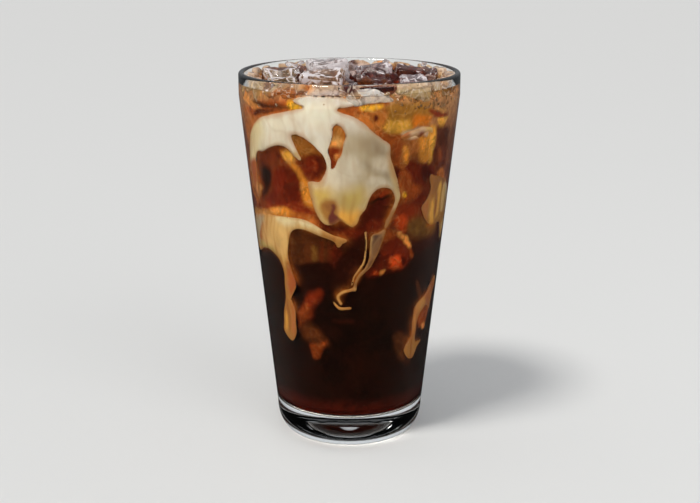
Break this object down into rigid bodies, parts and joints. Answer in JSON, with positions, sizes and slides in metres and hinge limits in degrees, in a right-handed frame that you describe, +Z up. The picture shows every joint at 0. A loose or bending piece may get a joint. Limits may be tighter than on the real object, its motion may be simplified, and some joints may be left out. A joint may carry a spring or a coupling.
{
  "type": "iced cold brew coffee with cream",
  "caption": "Straight-sided mixing glass filled with iced black coffee, with cream pouring down inside the wall and ice blocks floating at the rim.",
  "frame": {"origin": "centre of the glass's base, on the table", "axes": "+Z up along the glass's axis; -Y is the side that the picture shows"},
  "size_m": [0.088, 0.088, 0.156],
  "materials": {
    "clear_glass": "clear, smooth, polished",
    "coffee": "clear dark brown liquid, near black where deep, amber where thin",
    "cream": "milky liquid, white at the top to tan lower down",
    "ice": "clear wet ice with whitish flaws"
  },
  "bodies": {
    "root": {"glass": "clear_glass", "coffee": "coffee", "cream_veil": "cream", "cream_left_plume": "cream", "cream_centre_thread": "cream", "cream_right_streak": "cream", "cream_right_wisp": "cream", "cream_right_stream": "cream", "cream_back_veil": "cream", "cream_back_plume_left": "cream", "cream_back_plume_right": "cream", "cream_back_thread": "cream", "ice_01": "ice", "ice_02": "ice", "ice_03": "ice", "ice_04": "ice", "ice_05": "ice", "ice_06": "ice", "ice_07": "ice", "ice_08": "ice", "ice_09": "ice", "ice_10": "ice", "ice_11": "ice", "ice_12": "ice", "ice_13": "ice", "ice_14": "ice"}
  },
  "joints": []
}
